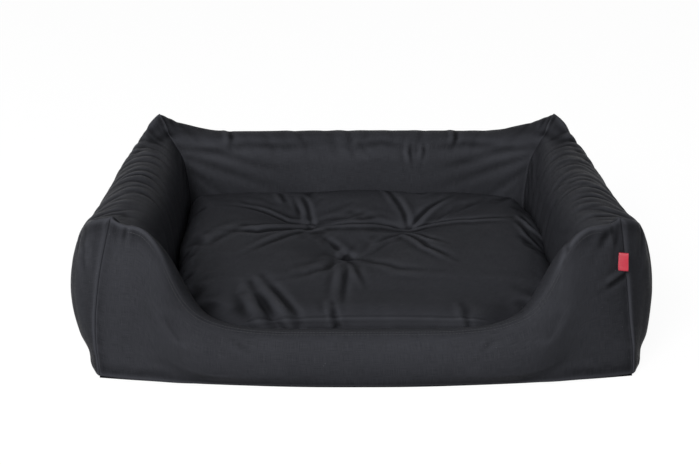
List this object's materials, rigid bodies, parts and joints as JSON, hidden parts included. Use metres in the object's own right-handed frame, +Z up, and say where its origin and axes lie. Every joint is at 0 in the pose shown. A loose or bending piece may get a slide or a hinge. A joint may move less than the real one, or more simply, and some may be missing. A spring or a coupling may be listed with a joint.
{
  "type": "dog sofa bed",
  "caption": "Rectangular dog sofa bed: padded walls with pointed corners, a scooped front, and a loose tufted cushion that lifts out of the well.",
  "frame": {"origin": "on the floor, under the middle of the bed's overall box", "axes": "+X to the bed's right as one faces the scooped front, +Y to the rear wall, +Z up"},
  "size_m": [0.7794, 0.6396, 0.209],
  "materials": {
    "shell_fabric": "tightly woven charcoal synthetic with a slight sheen",
    "cushion_fabric": "the same weave as the walls, a shade darker",
    "base_fabric": "coarser black underside fabric with small grip dots",
    "foam": "open-cell foam sheet",
    "stuffing": "white fibre fill",
    "label_fabric": "red satin woven ribbon, blank",
    "thread": "waxed charcoal thread",
    "zip_tape": "black woven zip tape",
    "zip_coil": "black nylon coil",
    "zip_metal": "black lacquered zinc"
  },
  "bodies": {
    "bed": {"base_cover": "base_fabric", "base_pad": "foam", "well_floor_panel": "shell_fabric", "front_wall_cover": "shell_fabric", "rear_wall_cover": "shell_fabric", "left_wall_cover": "shell_fabric", "right_wall_cover": "shell_fabric", "front_wall_filling": "stuffing", "rear_wall_filling": "stuffing", "left_wall_filling": "stuffing", "right_wall_filling": "stuffing", "rear_zip_band": "shell_fabric", "side_label": "label_fabric", "bed_zip_tapes": "zip_tape", "bed_zip_coils": "zip_coil", "bed_zip_stops": "zip_metal"},
    "bed_zip_slider": {"bed_zip_slider": "zip_metal"},
    "bed_zip_pull": {"bed_zip_pull": "zip_metal"},
    "cushion": {"cushion_top_panel": "cushion_fabric", "cushion_bottom_panel": "cushion_fabric", "cushion_filling": "stuffing", "tuft_ties": "thread", "cushion_zip_tapes": "zip_tape", "cushion_zip_coils": "zip_coil", "cushion_zip_stops": "zip_metal"},
    "cushion_zip_slider": {"cushion_zip_slider": "zip_metal"},
    "cushion_zip_pull": {"cushion_zip_pull": "zip_metal"}
  },
  "joints": [
    {"name": "cushion_lift", "type": "slide", "parent": "bed", "child": "cushion", "axis": [0, 0, 1], "range_m": [0, 0.3]},
    {"name": "bed_zip_slide", "type": "slide", "parent": "bed", "child": "bed_zip_slider", "axis": [1, 0, 0], "range_m": [0, 0.501]},
    {"name": "bed_pull_hinge", "type": "hinge", "parent": "bed_zip_slider", "child": "bed_zip_pull", "pos_m": [-0.2507, 0.2861, 0.02], "axis": [0, 0, 1], "range_deg": [0, 175]},
    {"name": "cushion_zip_slide", "type": "slide", "parent": "cushion", "child": "cushion_zip_slider", "axis": [1, 0, 0], "range_m": [0, 0.311]},
    {"name": "cushion_pull_hinge", "type": "hinge", "parent": "cushion_zip_slider", "child": "cushion_zip_pull", "pos_m": [-0.1557, 0.1951, 0.0561], "axis": [0, 0, 1], "range_deg": [0, 175]}
  ]
}
